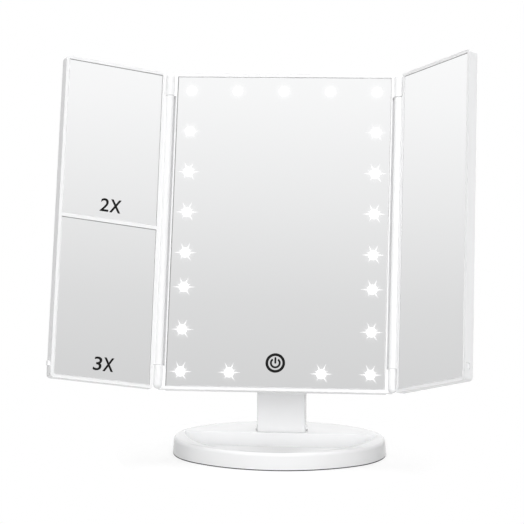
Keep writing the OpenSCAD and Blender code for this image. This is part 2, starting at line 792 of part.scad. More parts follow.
module battery_contacts() {
    color(nickel) tilted() for (i = [0:3], end = [-1, 1])
        translate([(i - 1.5) * cell_pitch, cell_y, cell_z + end * (bay_h / 2 - plate_t / 2)])
            cube([11, 10, plate_t], center = true);
}

// A cone of rings at the flat end of each cell
module contact_springs() {
    room = bay_h / 2 - plate_t - cell_l / 2;
    color(steel) tilted() for (i = [0:3]) {
        end = i % 2 == 0 ? -1 : 1;
        translate([(i - 1.5) * cell_pitch, cell_y, cell_z + end * (cell_l / 2 + (end > 0 ? 0 : room))])
            difference() {
                cylinder(r1 = end < 0 ? 4 : 2.5, r2 = end < 0 ? 2.5 : 4, h = room);
                translate([0, 0, -1]) cylinder(r = 1.8, h = room + 2);
            }
    }
}

module control_board() {
    color(board_green) tilted() difference() {
        union() {
            translate([pcb_x, 0, pcb_z]) slab(pcb_y, pcb_y + pcb_t) square([pcb_w, pcb_h], center = true);
            for (c = circuits)
                box(pcb_x + c[0], pcb_x + c[0] + c[2], pcb_y - c[4], pcb_y + touch, pcb_z + c[1], pcb_z + c[1] + c[3]);
        }
        for (spot = post_spots) rod_y(spot[0], spot[1], shank_r + snug, pcb_y - 1, usb_y + 1);
    }
}

module board_screws() {
    color(steel) tilted() for (spot = post_spots) {
        rod_y(spot[0], spot[1], head_r, pcb_y - head_t, pcb_y);
        rod_y(spot[0], spot[1], shank_r - run_gap, pcb_y - touch, usb_y + 3.5);
    }
}

module usb_socket() {
    z0 = -pod_drop + 0.4;
    color(steel) tilted() {
        difference() {
            box(usb_x - usb_w / 2, usb_x + usb_w / 2, usb_y, usb_y + usb_t, z0, z0 + usb_l);
            box(usb_x - usb_w / 2 + 0.4, usb_x + usb_w / 2 - 0.4, usb_y + 0.4, usb_y + usb_t - 0.4, z0 - 1,
                z0 + usb_l - 0.6);
        }
        box(usb_x - 2.2, usb_x + 2.2, usb_y + 0.9, usb_y + 1.6, z0 + 0.8, z0 + usb_l - 0.3);
    }
}

module switch_body() {
    color([0.12, 0.12, 0.13]) tilted() difference() {
        box(switch_x - switch_w / 2, switch_x + switch_w / 2, usb_y, usb_y + switch_t,
            switch_z - switch_h / 2, switch_z + switch_h / 2);
        box(switch_x - (knob_w + knob_travel) / 2 - free, switch_x + (knob_w + knob_travel) / 2 + free,
            usb_y + 1, usb_y + switch_t + 1, switch_z - 1.2 - free, switch_z + 1.2 + free);
    }
}

// Rests at the end of its travel nearest the neck
module switch_knob() {
    mid = switch_x - knob_travel / 2;
    color([0.12, 0.12, 0.13]) tilted() {
        box(mid - knob_w / 2, mid + knob_w / 2, usb_y + 1 + free, usb_y + switch_t + 0.8, switch_z - 1.2,
            switch_z + 1.2);
        difference() {
            box(mid - knob_w / 2, mid + knob_w / 2, usb_y + switch_t + 0.4, pod_y + knob_out,
                switch_z - knob_h / 2, switch_z + knob_h / 2);
            for (x = [-0.9, 0.9]) box(mid + x - 0.25, mid + x + 0.25, pod_y + knob_out - 0.5, pod_y + knob_out + 1,
                switch_z - knob_h, switch_z + knob_h);
        }
    }
}

// ---- Tilt pivot ----

module tilt_bolt() {
    color(steel) tilted() difference() {
        union() {
            rod_x(-bolt_end, bolt_end + bolt_head_t, pivot_back, -pivot_drop, bolt_r);
            rod_x(-bolt_end - bolt_head_t, -bolt_end, pivot_back, -pivot_drop, bolt_head_r);
        }
        translate([-bolt_end - bolt_head_t - 1, pivot_back, -pivot_drop]) rotate([0, 90, 0])
            cylinder(r = 2, h = 2, $fn = 6);
    }
}

module tilt_nut() {
    color(steel) tilted() difference() {
        translate([bolt_end, pivot_back, -pivot_drop]) rotate([0, 90, 0])
            cylinder(r = bolt_head_r, h = bolt_head_t, $fn = 6);
        rod_x(bolt_end - 1, bolt_end + bolt_head_t + 1, pivot_back, -pivot_drop, bolt_r + run_gap);
    }
}

module friction_washers() {
    color(steel) tilted() for (side = [-1, 1]) {
        mid = side * (neck_w / 2 + 0.2 + washer_t / 2);
        difference() {
            rod_x(mid - washer_t / 2, mid + washer_t / 2, pivot_back, -pivot_drop, lug_r - 1);
            rod_x(mid - 1, mid + 1, pivot_back, -pivot_drop, bolt_r + run_gap);
        }
    }
}

module hinge_caps() {
    color(shell_white) tilted() for (side = [-1, 1]) {
        x0 = side > 0 ? bolt_end : -bolt_end - cap_t;
        difference() {
            rod_x(x0, x0 + cap_t, pivot_back, -pivot_drop, cap_r);
            rod_x(side > 0 ? x0 - 1 : x0 + cap_wall, side > 0 ? x0 + cap_t - cap_wall : x0 + cap_t + 1,
                pivot_back, -pivot_drop, cap_r - cap_wall);
        }
    }
}

// ---- Wings, drawn with the hinge axis on Z, the wing along +X and the glass face at y = hinge_out ----

module wing_shape(x0, x1, h, r) {
    translate([(x0 + x1) / 2, 0]) rounded_rect(x1 - x0, h, r);
}

module wing_opening() {
    translate([wing_start, -glass_h / 2]) square([wing_glass_w, glass_h]);
}

module wing_frame(side) {
    x0 = wing_start - wing_inner;
    face = hinge_out - lip;
    back = hinge_out + wing_d;
    web = hinge_out + wing_web_y;
    color(shell_white) on_wing(side) difference() {
        union() {
            slab(face, back) intersection() {
                wing_shape(x0 - wing_corner, wing_end, frame_h, wing_corner);
                translate([x0, -frame_h]) square([wing_end, 2 * frame_h]);
            }
            translate([0, 0, -barrel_h / 2]) cylinder(r = barrel_r, h = barrel_h);
            box(0, x0 + 0.2, 0.1, 0.1 + link_t, -barrel_h / 2, barrel_h / 2);
            if (side < 0)
                box(wing_end - 1, wing_end + nub_out, hinge_out + nub_y - nub_t / 2, hinge_out + nub_y + nub_t / 2,
                    -nub_drop - nub_h / 2, -nub_drop + nub_h / 2);
        }
        slab(face - 1, web) difference() {
            wing_opening();
            if (side < 0) translate([wing_start - 1, -divider_w / 2]) square([wing_glass_w + 2, divider_w]);
        }
        slab(web + wing_web_t, back + 1) wing_opening();
        for (end = [-1, 1])
            translate([0, 0, end > 0 ? barrel_h / 2 - pin_out : -barrel_h / 2 - 1])
                cylinder(r = pin_r + run_gap, h = pin_out + 1);
        if (side > 0)
            box(wing_end - 1.2, wing_end + 1, hinge_out + nub_y - nub_t / 2 - slot_gap,
                hinge_out + nub_y + nub_t / 2 + slot_gap, -nub_drop - nub_h / 2 - slot_gap,
                -nub_drop + nub_h / 2 + slot_gap);
    }
}

module wing_back(side) {
    back = hinge_out + wing_d;
    color(shell_white) on_wing(side) translate([snug, 0, 0]) slab(back - wing_back_t, back)
        translate([wing_start, -glass_h / 2 + snug]) square([wing_glass_w - 2 * snug, glass_h - 2 * snug]);
}

module wing_pane(side, z0, z1) {
    color(mirror_grey) on_wing(side) slab(hinge_out, hinge_out + wing_glass_t)
        translate([wing_start + glass_gap, z0 + glass_gap])
            square([wing_glass_w - 2 * glass_gap, z1 - z0 - 2 * glass_gap]);
}

module wing_tape(side) {
    strip_w = 6;
    strip_in = 8;                               // from the sides of the glass
    strip_end = 10;                             // from its ends
    color(foam_white) on_wing(side) slab(hinge_out + wing_glass_t, hinge_out + wing_web_y)
        for (x = [wing_start + strip_in, wing_start + wing_glass_w - strip_in - strip_w], z = [-1, 1])
            translate([x, z > 0 ? strip_end : strip_end - glass_h / 2])
                square([strip_w, glass_h / 2 - 2 * strip_end]);
}

base_tray();
base_bottom_cover();
base_weight();
non_slip_pad();
base_screws();
neck_rear_shell();
neck_front_shell();
neck_screws();
release_tab(-1);  // release_tab_left
release_tab(1);  // release_tab_right
centre_frame();
centre_mirror();
centre_tape();
light_board_side(-1);  // light_board_left
light_board_side(1);  // light_board_right
light_board_row(1);  // light_board_top
light_board_row(-1);  // light_board_bottom
light_chips();
touch_disc();
touch_board();
rear_housing();
housing_screws();
battery_cover();
battery_cells();
battery_contacts();
contact_springs();
control_board();
board_screws();
usb_socket();
switch_body();
switch_knob();
tilt_bolt();
tilt_nut();
friction_washers();
hinge_caps();
hinge_pins(-1);  // hinge_pins_left
hinge_pins(1);  // hinge_pins_right
wing_frame(-1);  // left_wing_frame
wing_back(-1);  // left_wing_back
wing_pane(-1, divider_w / 2, glass_h / 2);  // mirror_2x
wing_pane(-1, -glass_h / 2, -divider_w / 2);  // mirror_3x
wing_tape(-1);  // left_wing_tape
wing_frame(1);  // right_wing_frame
wing_back(1);  // right_wing_back
wing_pane(1, -glass_h / 2, glass_h / 2);  // right_mirror
wing_tape(1);  // right_wing_tape
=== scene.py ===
import json
import math

import bpy
from mathutils import Matrix, Vector

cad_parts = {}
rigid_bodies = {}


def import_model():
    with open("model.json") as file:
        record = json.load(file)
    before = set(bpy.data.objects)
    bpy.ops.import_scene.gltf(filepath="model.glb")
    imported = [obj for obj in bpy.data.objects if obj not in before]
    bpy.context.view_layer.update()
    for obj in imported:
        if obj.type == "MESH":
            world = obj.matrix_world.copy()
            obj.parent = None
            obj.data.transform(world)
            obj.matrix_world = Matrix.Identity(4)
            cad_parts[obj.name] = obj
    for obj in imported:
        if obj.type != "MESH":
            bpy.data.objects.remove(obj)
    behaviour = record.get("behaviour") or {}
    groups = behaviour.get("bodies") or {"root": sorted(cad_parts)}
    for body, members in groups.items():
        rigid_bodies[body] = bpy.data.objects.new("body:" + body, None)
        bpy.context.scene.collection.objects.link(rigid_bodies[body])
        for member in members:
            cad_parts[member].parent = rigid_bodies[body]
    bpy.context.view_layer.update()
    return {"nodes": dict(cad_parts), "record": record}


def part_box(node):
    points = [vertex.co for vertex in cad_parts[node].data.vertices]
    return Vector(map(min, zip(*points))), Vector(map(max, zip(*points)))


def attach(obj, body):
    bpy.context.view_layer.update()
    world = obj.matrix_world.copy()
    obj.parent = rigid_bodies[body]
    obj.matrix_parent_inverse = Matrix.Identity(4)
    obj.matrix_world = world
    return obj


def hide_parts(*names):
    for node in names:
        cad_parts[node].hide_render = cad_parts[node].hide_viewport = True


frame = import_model()
nodes = frame["nodes"]
print("frame loaded:", len(nodes), "nodes")

mm = 0.001

# where the mirror unit and the wings sit, as in the CAD
pose = {
    "pivot": (0, 22.8 * mm, 142.7 * mm),
    "pivotBack": 31.6 * mm,
    "pivotDrop": 19.2 * mm,
    "tilt": 20.6,
    "hingeX": 87.5 * mm,
    "hingeOut": 0.7 * mm,
    "foldLeft": 33,
    "foldRight": 52,
}
panelPlace = (
    Matrix.Translation(pose["pivot"])
    @ Matrix.Rotation(math.radians(-pose["tilt"]), 4, "X")
    @ Matrix.Translation((0, -pose["pivotBack"], pose["pivotDrop"]))
)
panelUp = (panelPlace.to_3x3() @ Vector((0, 0, 1))).normalized()


def wingPlace(side):
    fold = pose["foldLeft"] if side < 0 else pose["foldRight"]
    hinge = Matrix.Translation((side * pose["hingeX"], -pose["hingeOut"], 0))
    return panelPlace @ hinge @ Matrix.Rotation(math.radians(-side * fold), 4, "Z")


# the photograph's viewpoint
view = {
    "azimuth": 5.403,
    "elevation": 8.5,
    "distance": 1757.5 * mm,
    "target": (-13.26 * mm, 147.76 * mm),  # to the right of the centre line, above the table
    "focal": 2325.2,  # in pixels of the frame
    "frame": 524,
    "sensor": 36,
    "farthest": 60,
}


def makeCamera():
    az, el = math.radians(view["azimuth"]), math.radians(view["elevation"])
    ahead = Vector((-math.sin(az) * math.cos(el), math.cos(az) * math.cos(el), -math.sin(el)))
    right = Vector((math.cos(az), math.sin(az), 0))
    target = right * view["target"][0] + Vector((0, 0, view["target"][1]))
    bpy.ops.object.camera_add(location=target - ahead * view["distance"])
    camera = bpy.context.object
    camera.name = "camera"
    camera.rotation_mode = "QUATERNION"
    camera.rotation_quaternion = ahead.to_track_quat("-Z", "Y")
    camera.data.sensor_width = view["sensor"]
    camera.data.lens = view["focal"] / view["frame"] * view["sensor"]
    camera.data.clip_end = view["farthest"]
    bpy.context.scene.camera = camera


makeCamera()
print("camera placed")


class Wire:
    # a socket on which plus, minus, times and over add Math nodes
    def __init__(self, tree, socket):
        self.tree = tree
        self.socket = socket

    def calc(self, operation, *values):
        return addNode(self.tree, "ShaderNodeMath", {"operation": operation}, values)

    def __add__(self, other):
        return self.calc("ADD", self, other)

    def __sub__(self, other):
        return self.calc("SUBTRACT", self, other)

    def __rsub__(self, other):
        return self.calc("SUBTRACT", other, self)

    def __mul__(self, other):
        return self.calc("MULTIPLY", self, other)

    def __truediv__(self, other):
        return self.calc("DIVIDE", self, other)

    def __pow__(self, other):
        return self.calc("POWER", self, other)

    def __abs__(self):
        return self.calc("ABSOLUTE", self)

    __radd__ = __add__
    __rmul__ = __mul__

    def smaller(self, other):
        return self.calc("MINIMUM", self, other)

    def larger(self, other):
        return self.calc("MAXIMUM", self, other)

    def clamped(self):
        return self.larger(0.0).smaller(1.0)


def addNode(tree, kind, settings=None, inputs=(), output=0):
    node = tree.nodes.new(kind)
    for name, value in (settings or {}).items():
        if name == "stops":
            ramp = node.color_ramp
            while len(ramp.elements) < len(value):
                ramp.elements.new(0.5)
            for element, (position, colour) in zip(ramp.elements, value):
                element.position = position
                element.color = (*colour, 1)
        else:
            setattr(node, name, value)
    pairs = inputs.items() if isinstance(inputs, dict) else enumerate(inputs)
    for key, value in pairs:
        if isinstance(value, Wire):
            tree.links.new(value.socket, node.inputs[key])
        else:
            node.inputs[key].default_value = value
    return Wire(tree, node.outputs[output]) if node.outputs else None


def newMaterial(name, **fixed):
    material = bpy.data.materials.new(name)
    material.use_nodes = True
    shader = material.node_tree.nodes["Principled BSDF"]
    for socket, value in fixed.items():
        shader.inputs[socket.replace("_", " ")].default_value = value
    return material, material.node_tree, shader


def feed(shader, socket, wire):
    wire.tree.links.new(wire.socket, shader.inputs[socket])


def grain(tree, scale, detail=3.0, rough=0.5):
    place = addNode(tree, "ShaderNodeTexCoord", output=3)
    inputs = {"Vector": place, "Scale": scale, "Detail": detail, "Roughness": rough}
    return addNode(tree, "ShaderNodeTexNoise", inputs=inputs)


def bumped(tree, height, strength, distance):
    inputs = {"Height": height, "Strength": strength, "Distance": distance}
    return addNode(tree, "ShaderNodeBump", inputs=inputs)


def blended(tree, amount, low, high):
    mix = tree.nodes.new("ShaderNodeMix")
    mix.data_type = "RGBA"
    for key, value in ((0, amount), (6, low), (7, high)):
        if isinstance(value, Wire):
            tree.links.new(value.socket, mix.inputs[key])
        elif key == 0:
            mix.inputs[key].default_value = value
        else:
            mix.inputs[key].default_value = (*value, 1)
    return Wire(tree, mix.outputs[2])


def mouldedWhite():
    # glossy white moulding: faint shrink waves, fine skin, a hint of tone from the mould, painted shade
    # darkening the creases and seams
    look = {"light": (0.905, 0.907, 0.912), "shade": (0.875, 0.878, 0.885), "creaseShade": (0.30, 0.30, 0.31),
            "seam": 3 * mm, "wave": 26, "skin": 900, "coat": 0.25, "relief": 0.4 * mm}
    material, tree, shader = newMaterial("mouldedWhite", IOR=1.5, Coat_Roughness=0.06)
    wave = grain(tree, look["wave"], 2.0)
    skin = grain(tree, look["skin"], 2.0, 0.6)
    inputs = {"Distance": look["seam"]}
    # painted shade: ambient occlusion darkens the colour in creases, seams and gaps between parts
    clear = addNode(tree, "ShaderNodeAmbientOcclusion", {"samples": 8}, inputs, output=1)
    unshadedTone = blended(tree, (wave - 0.35) * 0.8, look["light"], look["shade"])
    feed(shader, "Base Color", blended(tree, (clear * 2).clamped(), look["creaseShade"], unshadedTone))
    feed(shader, "Roughness", skin * 0.08 + 0.2)
    shader.inputs["Coat Weight"].default_value = look["coat"]
    feed(shader, "Normal", bumped(tree, wave * 0.6 + skin * 0.05, 0.12, look["relief"]))
    return material


def silvered():
    look = {"colour": (0.955, 0.958, 0.962), "mist": 14, "haze": 0.02, "clearest": 0.01}
    material, tree, shader = newMaterial("silvered", Metallic=1.0)
    shader.inputs["Base Color"].default_value = (*look["colour"], 1)
    feed(shader, "Roughness", grain(tree, look["mist"], 2.0) * look["haze"] + look["clearest"])
    return material


def groundEdge(name, tone):
    # the arris round each pane, ground and a little grey
    look = {"grit": 300, "spread": 0.08}
    material, tree, shader = newMaterial(name, Roughness=0.4)
    low, high = (tone,) * 3, (tone + look["spread"],) * 3
    feed(shader, "Base Color", blended(tree, grain(tree, look["grit"]), low, high))
    return material


def brushedSteel():
    look = {"dark": (0.60, 0.61, 0.63), "bright": (0.72, 0.73, 0.75), "streak": (60, 900, 900)}
    material, tree, shader = newMaterial("brushedSteel", Metallic=1.0)
    place = addNode(tree, "ShaderNodeTexCoord", output=3)
    drawn = addNode(tree, "ShaderNodeMapping", inputs={"Vector": place, "Scale": look["streak"]})
    streak = addNode(tree, "ShaderNodeTexNoise", inputs={"Vector": drawn, "Scale": 1.0, "Detail": 2.0})
    feed(shader, "Base Color", blended(tree, streak, look["dark"], look["bright"]))
    feed(shader, "Roughness", streak * 0.15 + 0.25)
    return material


def nickelPlate():
    look = {"worn": (0.70, 0.67, 0.60), "bright": (0.80, 0.78, 0.72), "wear": 220}
    material, tree, shader = newMaterial("nickelPlate", Metallic=1.0)
    wear = grain(tree, look["wear"])
    feed(shader, "Base Color", blended(tree, wear, look["worn"], look["bright"]))
    feed(shader, "Roughness", wear * 0.1 + 0.2)
    return material


def foamTape():
    look = {"pore": (0.80, 0.80, 0.77), "foam": (0.88, 0.88, 0.86), "cells": 1400, "relief": 0.3 * mm}
    material, tree, shader = newMaterial("foamTape", Roughness=0.95)
    cell = grain(tree, look["cells"], 2.0)
    feed(shader, "Base Color", blended(tree, cell, look["pore"], look["foam"]))
    feed(shader, "Normal", bumped(tree, cell, 0.5, look["relief"]))
    return material


def greenBoard():
    # lacquer over copper tracks
    look = {"lacquer": (0.02, 0.15, 0.06), "track": (0.06, 0.30, 0.13), "pitch": 260, "width": 0.06,
            "relief": 0.1 * mm}
    material, tree, shader = newMaterial("greenBoard", Roughness=0.35)
    place = addNode(tree, "ShaderNodeTexCoord", output=3)
    settings = {"distance": "MANHATTAN", "feature": "DISTANCE_TO_EDGE"}
    track = addNode(tree, "ShaderNodeTexVoronoi", settings, {"Vector": place, "Scale": look["pitch"]})
    copper = ((look["width"] - track) * 30).clamped()
    feed(shader, "Base Color", blended(tree, copper, look["lacquer"], look["track"]))
    feed(shader, "Normal", bumped(tree, copper, 0.3, look["relief"]))
    return material


def phosphor():
    look = {"deep": (0.90, 0.80, 0.35), "pale": (0.95, 0.88, 0.5), "powder": 900}
    material, tree, shader = newMaterial("phosphor", Roughness=0.5)
    feed(shader, "Base Color", blended(tree, grain(tree, look["powder"]), look["deep"], look["pale"]))
    return material


def cellWrap():
    # dark sleeve with a copper-coloured band near the upper end and bare metal at both ends
    look = {"sleeve": (0.03, 0.03, 0.035), "copper": (0.55, 0.29, 0.11), "metal": (0.70, 0.70, 0.71),
            "middle": (0, 14 * mm, 35.5 * mm), "bandStart": 12 * mm, "endStart": 24.2 * mm}
    material, tree, shader = newMaterial("cellWrap", Roughness=0.3)
    place = addNode(tree, "ShaderNodeTexCoord", output=3)
    settings, inputs = {"operation": "DOT_PRODUCT"}, {0: place, 1: tuple(panelUp)}
    height = addNode(tree, "ShaderNodeVectorMath", settings, inputs, output=1)
    middle = (panelPlace @ Vector(look["middle"])).dot(panelUp)
    band = ((height - (middle + look["bandStart"])) * 4000).clamped()
    end = ((abs(height - middle) - look["endStart"]) * 6000).clamped()
    label = blended(tree, band, look["sleeve"], look["copper"])
    feed(shader, "Base Color", blended(tree, end, label, look["metal"]))
    feed(shader, "Metallic", end * 0.9 + band * (1 - end) * 0.6)
    feed(shader, "Roughness", grain(tree, 500) * 0.08 + 0.24)
    return material


def softRubber():
    look = {"dark": (0.055, 0.056, 0.06), "bloom": (0.09, 0.09, 0.095), "speck": 1200, "relief": 0.2 * mm}
    material, tree, shader = newMaterial("softRubber", Roughness=0.9)
    speck = grain(tree, look["speck"])
    feed(shader, "Base Color", blended(tree, speck, look["dark"], look["bloom"]))
    feed(shader, "Normal", bumped(tree, speck, 0.4, look["relief"]))
    return material


def switchBlack():
    look = {"dark": (0.018, 0.018, 0.02), "pale": (0.035, 0.035, 0.038), "speck": 1100, "relief": 0.1 * mm}
    material, tree, shader = newMaterial("switchBlack")
    speck = grain(tree, look["speck"])
    feed(shader, "Base Color", blended(tree, speck, look["dark"], look["pale"]))
    feed(shader, "Roughness", speck * 0.2 + 0.35)
    feed(shader, "Normal", bumped(tree, speck, 0.3, look["relief"]))
    return material


def printedInk():
    look = {"dark": (0.004, 0.004, 0.004), "pale": (0.012, 0.012, 0.012), "speck": 1500}
    material, tree, shader = newMaterial("printedInk", Specular_IOR_Level=0.12)
    speck = grain(tree, look["speck"], 2.0)
    feed(shader, "Base Color", blended(tree, speck, look["dark"], look["pale"]))
    feed(shader, "Roughness", speck * 0.15 + 0.5)
    return material


def lampGlow():
    # frosted window with a bright core, and round it a painted glare of a faint halo and of rays, which the
    # highest lamps lack
    look = {"core": 0.385, "soft": 7.0, "halo": 0.2, "rays": 0.75, "width": 0.105, "tip": 0.02,
            "highest": 262 * mm, "fading": 50 * mm, "window": (0.95, 0.95, 0.95), "rim": (0.80, 0.80, 0.80)}
    # bearing and length of each ray
    rayLines = ((0, 1.0), (24, 0.62), (65, 0.95), (115, 0.95), (156, 0.62), (180, 1.0), (236, 0.72),
                (306, 0.92))
    material, tree, shader = newMaterial("lampGlow", Roughness=0.6, Emission_Strength=1.0)
    spot = addNode(tree, "ShaderNodeUVMap", {"uv_map": "spot"})
    parts = tree.nodes.new("ShaderNodeSeparateXYZ")
    tree.links.new(spot.socket, parts.inputs[0])
    place = tree.nodes.new("ShaderNodeSeparateXYZ")
    tree.links.new(addNode(tree, "ShaderNodeTexCoord", output=3).socket, place.inputs[0])
    lower = ((look["highest"] - Wire(tree, place.outputs[2])) / look["fading"]).clamped()
    across, up = Wire(tree, parts.outputs[0]) * 2 - 1, Wire(tree, parts.outputs[1]) * 2 - 1
    radius = (across * across + up * up) ** 0.5
    core = ((look["core"] - radius) * look["soft"] + 0.5).clamped()
    # painted glare: rays and a halo drawn onto the glass round each lit window
    rays = None
    for turn, length in rayLines:
        bearing = math.radians(turn)
        ahead = across * math.cos(bearing) + up * math.sin(bearing)
        off = abs(across * math.sin(bearing) - up * math.cos(bearing))
        fade = (1 - ahead / length).clamped()
        body = (1 - off / (fade * look["width"] + look["tip"])).clamped()
        ray = body * fade ** 0.5 * (ahead * 20).clamped()
        rays = ray if rays is None else rays.larger(ray)
    halo = (1 - radius).clamped() ** 2.0 * look["halo"]
    feed(shader, "Alpha", core.larger(rays * lower * look["rays"] + halo).clamped())
    shader.inputs["Base Color"].default_value = (*look["window"], 1)
    feed(shader, "Emission Color", blended(tree, core, look["rim"], (1.0, 1.0, 1.0)))
    return material


slotFinish = {
    "shell": mouldedWhite(),
    "mirror": silvered(),
    "foam": foamTape(),
    "board": greenBoard(),
    "chip": phosphor(),
    "steel": brushedSteel(),
    "nickel": nickelPlate(),
    "cell": cellWrap(),
    "rubber": softRubber(),
    "black": switchBlack(),
}
# painted shade: a dark copy of the arris colour for the side of each pane that turns from the light
paintedShadeArris = groundEdge("paintedShadeArris", 0.22)
paleEdge = groundEdge("paleEdge", 0.78)
inkFinish = printedInk()
glowFinish = lampGlow()


def dress(piece, *materials):
    piece.data.materials.clear()
    for material in materials:
        piece.data.materials.append(material)


for part in frame["record"]["subparts"]:
    dress(nodes[part["node"]], slotFinish[part["material_slot"]])
print("materials made")


def deselect():
    if bpy.context.object and bpy.context.object.mode != "OBJECT":
        bpy.ops.object.mode_set(mode="OBJECT")
    bpy.ops.object.select_all(action="DESELECT")


def choose(piece, faces=None, edges=None):
    # leaves the piece in edit mode with only the faces or edges that pass selected
    deselect()
    piece.select_set(True)
    bpy.context.view_layer.objects.active = piece
    bpy.ops.object.mode_set(mode="EDIT")
    bpy.ops.mesh.select_mode(type="EDGE" if edges else "FACE")
    bpy.ops.mesh.select_all(action="DESELECT")
    bpy.ops.object.mode_set(mode="OBJECT")
    mesh = piece.data
    if faces:
        for face in mesh.polygons:
            face.select = faces(face)
    if edges:
        for edge in mesh.edges:
            ends = [mesh.vertices[i].co for i in edge.vertices]
            edge.select = edges(*ends)
    bpy.ops.object.mode_set(mode="EDIT")


def finishEdit(piece):
    bpy.ops.object.mode_set(mode="OBJECT")
    deselect()
    return piece


def addModifier(piece, kind, **settings):
    deselect()
    piece.select_set(True)
    bpy.context.view_layer.objects.active = piece
    modifier = piece.modifiers.new(kind.lower(), kind)
    for name, value in settings.items():
        setattr(modifier, name, value)
    bpy.ops.object.modifier_apply(modifier=modifier.name)
    return piece


def joined(name, pieces):
    deselect()
    for piece in pieces:
        piece.select_set(True)
    bpy.context.view_layer.objects.active = pieces[0]
    if len(pieces) > 1:
        bpy.ops.object.join()
    pieces[0].name = pieces[0].data.name = name
    deselect()
    return pieces[0]


def settle(piece, place, body, smooth=None):
    # puts the piece's place into its mesh and lets it ride on its body
    deselect()
    piece.select_set(True)
    bpy.context.view_layer.objects.active = piece
    bpy.ops.object.transform_apply(location=True, rotation=True, scale=True)
    piece.data.transform(place)
    piece.data.update()
    if smooth:
        bpy.ops.object.shade_smooth_by_angle(angle=math.radians(smooth))
    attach(piece, body)
    deselect()
    return piece


# the four panes, each a little smaller than its place in the tray
pane = {
    "height": 240.5 * mm,
    "gap": 0.2 * mm,
    "arris": 0.5 * mm,
    "centreWidth": 164 * mm,
    "centreThick": 3 * mm,
    "wingWidth": 77.8 * mm,
    "wingThick": 2 * mm,
    "wingStart": 6.4 * mm,
    "divider": 2.6 * mm,
    "frontFacing": 0.99,  # a face that points this much forward is the silvered one
    "dimFacing": 0.3,
}


def makePane(name, x0, x1, z0, z1, front, thick, place, body, dimSide=(0, 0, 1)):
    # the arris is given a darker copy of its colour, as painted shade, on the side that turns from the
    # light
    size = (x1 - x0 - 2 * pane["gap"], thick, z1 - z0 - 2 * pane["gap"])
    middle = ((x0 + x1) / 2, front + thick / 2, (z0 + z1) / 2)
    bpy.ops.mesh.primitive_cube_add(size=1, location=middle, scale=size)
    piece = bpy.context.object
    bpy.ops.object.transform_apply(location=True, rotation=False, scale=True)
    choose(piece, edges=lambda a, b: max(a.y, b.y) < middle[1])
    bpy.ops.mesh.bevel(offset=pane["arris"], segments=2, affect="EDGES")
    finishEdit(piece)
    dress(piece, slotFinish["mirror"], paleEdge, paintedShadeArris)
    for face in piece.data.polygons:
        dim = face.normal.dot(Vector(dimSide)) > pane["dimFacing"]
        face.material_index = 0 if face.normal.y < -pane["frontFacing"] else 2 if dim else 1
    piece.name = piece.data.name = name
    return settle(piece, place, body)


half = pane["height"] / 2
centreGlass = makePane("centreGlass", -pane["centreWidth"] / 2, pane["centreWidth"] / 2, -half, half, 0,
                       pane["centreThick"], panelPlace, "mirror_unit", dimSide=(-1, 0, 0))
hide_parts("centre_mirror")
inner, outer = pane["wingStart"], pane["wingStart"] + pane["wingWidth"]
for name, side, x0, x1, z0, z1, node in (
    ("upperLeftGlass", -1, -outer, -inner, pane["divider"] / 2, half, "mirror_2x"),
    ("lowerLeftGlass", -1, -outer, -inner, -half, -pane["divider"] / 2, "mirror_3x"),
    ("rightGlass", 1, inner, outer, -half, half, "right_mirror"),
):
    glass = makePane(name, x0, x1, z0, z1, pose["hingeOut"], pane["wingThick"], wingPlace(side),
                     "left_wing" if side < 0 else "right_wing")
    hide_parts(node)
print("panes made")


# base tray and pad
base = {
    "length": 163.6 * mm,
    "width": 118.4 * mm,
    "height": 13 * mm,
    "draft": 0.9 * mm,
    "edge": 2.5 * mm,  # radius of the rim's outer edge
    "edgeSteps": 8,
    "lip": 0.4 * mm,  # and of the tray's own edge
    "fill": 4.7 * mm,
    "wall": 1.6 * mm,
    "proud": 0.5 * mm,  # the wall starts out this much too wide
    "over": 0.3 * mm,  # and too high, and is then cut
    "trim": 0.15 * mm,
    "floor": 2.42 * mm,
    "deck": 12.6 * mm,
    "deckFront": 12 * mm,
    "deckBack": 15.4 * mm,
    "trayRadius": 74.9 * mm,
    "trayMiddle": 21.9 * mm,
    "pad": 0.8 * mm,
    "padInset": 0.25 * mm,
    "padEdge": 0.15 * mm,
    "seat": 0.02 * mm,  # room between moulding and pad
    "sink": 0.05 * mm,
    "skim": 0.01 * mm,
    "spare": 1 * mm,  # how far a block reaches past what it cuts or fills
    "ovalSides": 192,
    "traySides": 256,
    "smooth": 30,
}
neck = {
    "middle": 22.8 * mm,
    "width": 37.5 * mm,
    "depth": 15.1 * mm,
    "corner": 3 * mm,
    "cornerSteps": 8,
    "gap": 0.7 * mm,  # width of the groove round its foot
    "groove": 11.6 * mm,  # height of the groove's floor
    "tabRoom": 0.27 * mm,
    "tabTravel": 1.2 * mm,
}
weld = {"node": 0.001 * mm, "moulding": 0.02 * mm, "sliver": 0.01 * mm}
within = {"arc": 0.05 * mm, "line": 0.01 * mm, "level": 0.1 * mm}
arcStep = (base["length"] - base["width"]) / 4
tipRadius, sideRadius = base["width"] / 2 - arcStep, base["width"] / 2 + 4 * arcStep


def ovalPoint(turn, inset):
    # the centres of the oval's four arcs form 3-4-5 triangles
    across, back = math.cos(turn), math.sin(turn)
    if abs(back) <= 0.8:
        reach = tipRadius - inset
        return math.copysign(3 * arcStep, across) + reach * across, reach * back
    reach = sideRadius - inset
    return reach * across, reach * back - math.copysign(4 * arcStep, back)


def makeOvalBlock(insets, heights):
    # a cylinder whose two rims are pressed into the oval
    bpy.ops.mesh.primitive_cylinder_add(vertices=base["ovalSides"], radius=1, depth=1)
    piece = bpy.context.object
    for vertex in piece.data.vertices:
        level = vertex.co.z > 0
        turn = math.atan2(vertex.co.y, vertex.co.x)
        vertex.co = (*ovalPoint(turn, insets[level]), heights[level])
    deselect()
    return piece


